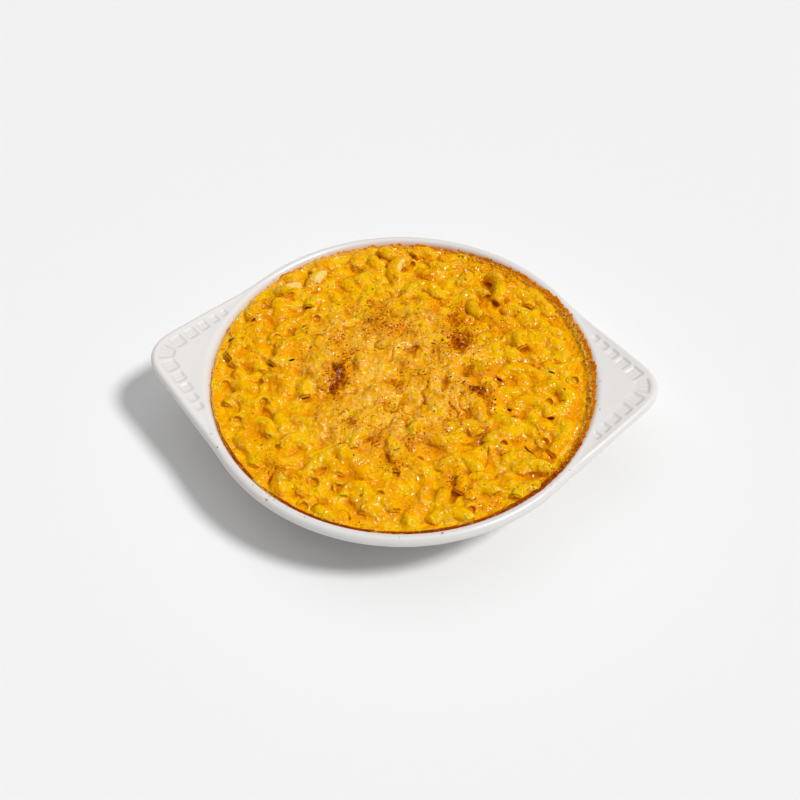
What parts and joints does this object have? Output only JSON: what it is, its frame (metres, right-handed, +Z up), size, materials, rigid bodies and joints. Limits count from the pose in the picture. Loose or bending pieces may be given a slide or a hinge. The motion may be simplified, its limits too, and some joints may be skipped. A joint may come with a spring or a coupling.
{
  "type": "baked macaroni and cheese in an eared gratin dish",
  "caption": "Macaroni baked in cheese sauce, filling a round shallow gratin dish to the rim; the glazed dish has a tapered wall, a rolled lip and two fluted triangular ears.",
  "frame": {"origin": "on the surface that the dish stands on, under the middle of its round foot", "axes": "+Z up out of the dish, +X along the line through the two ears, +Y across them, away from the viewer"},
  "size_m": [0.2522, 0.2, 0.0443],
  "materials": {
    "stoneware_glaze": "smooth white glaze, glossy",
    "baked_cheese": "glossy yellow cheese sauce, toasted orange-brown in places and at the edge"
  },
  "bodies": {
    "root": {"gratin_dish": "stoneware_glaze", "macaroni_cheese": "baked_cheese"}
  },
  "joints": []
}
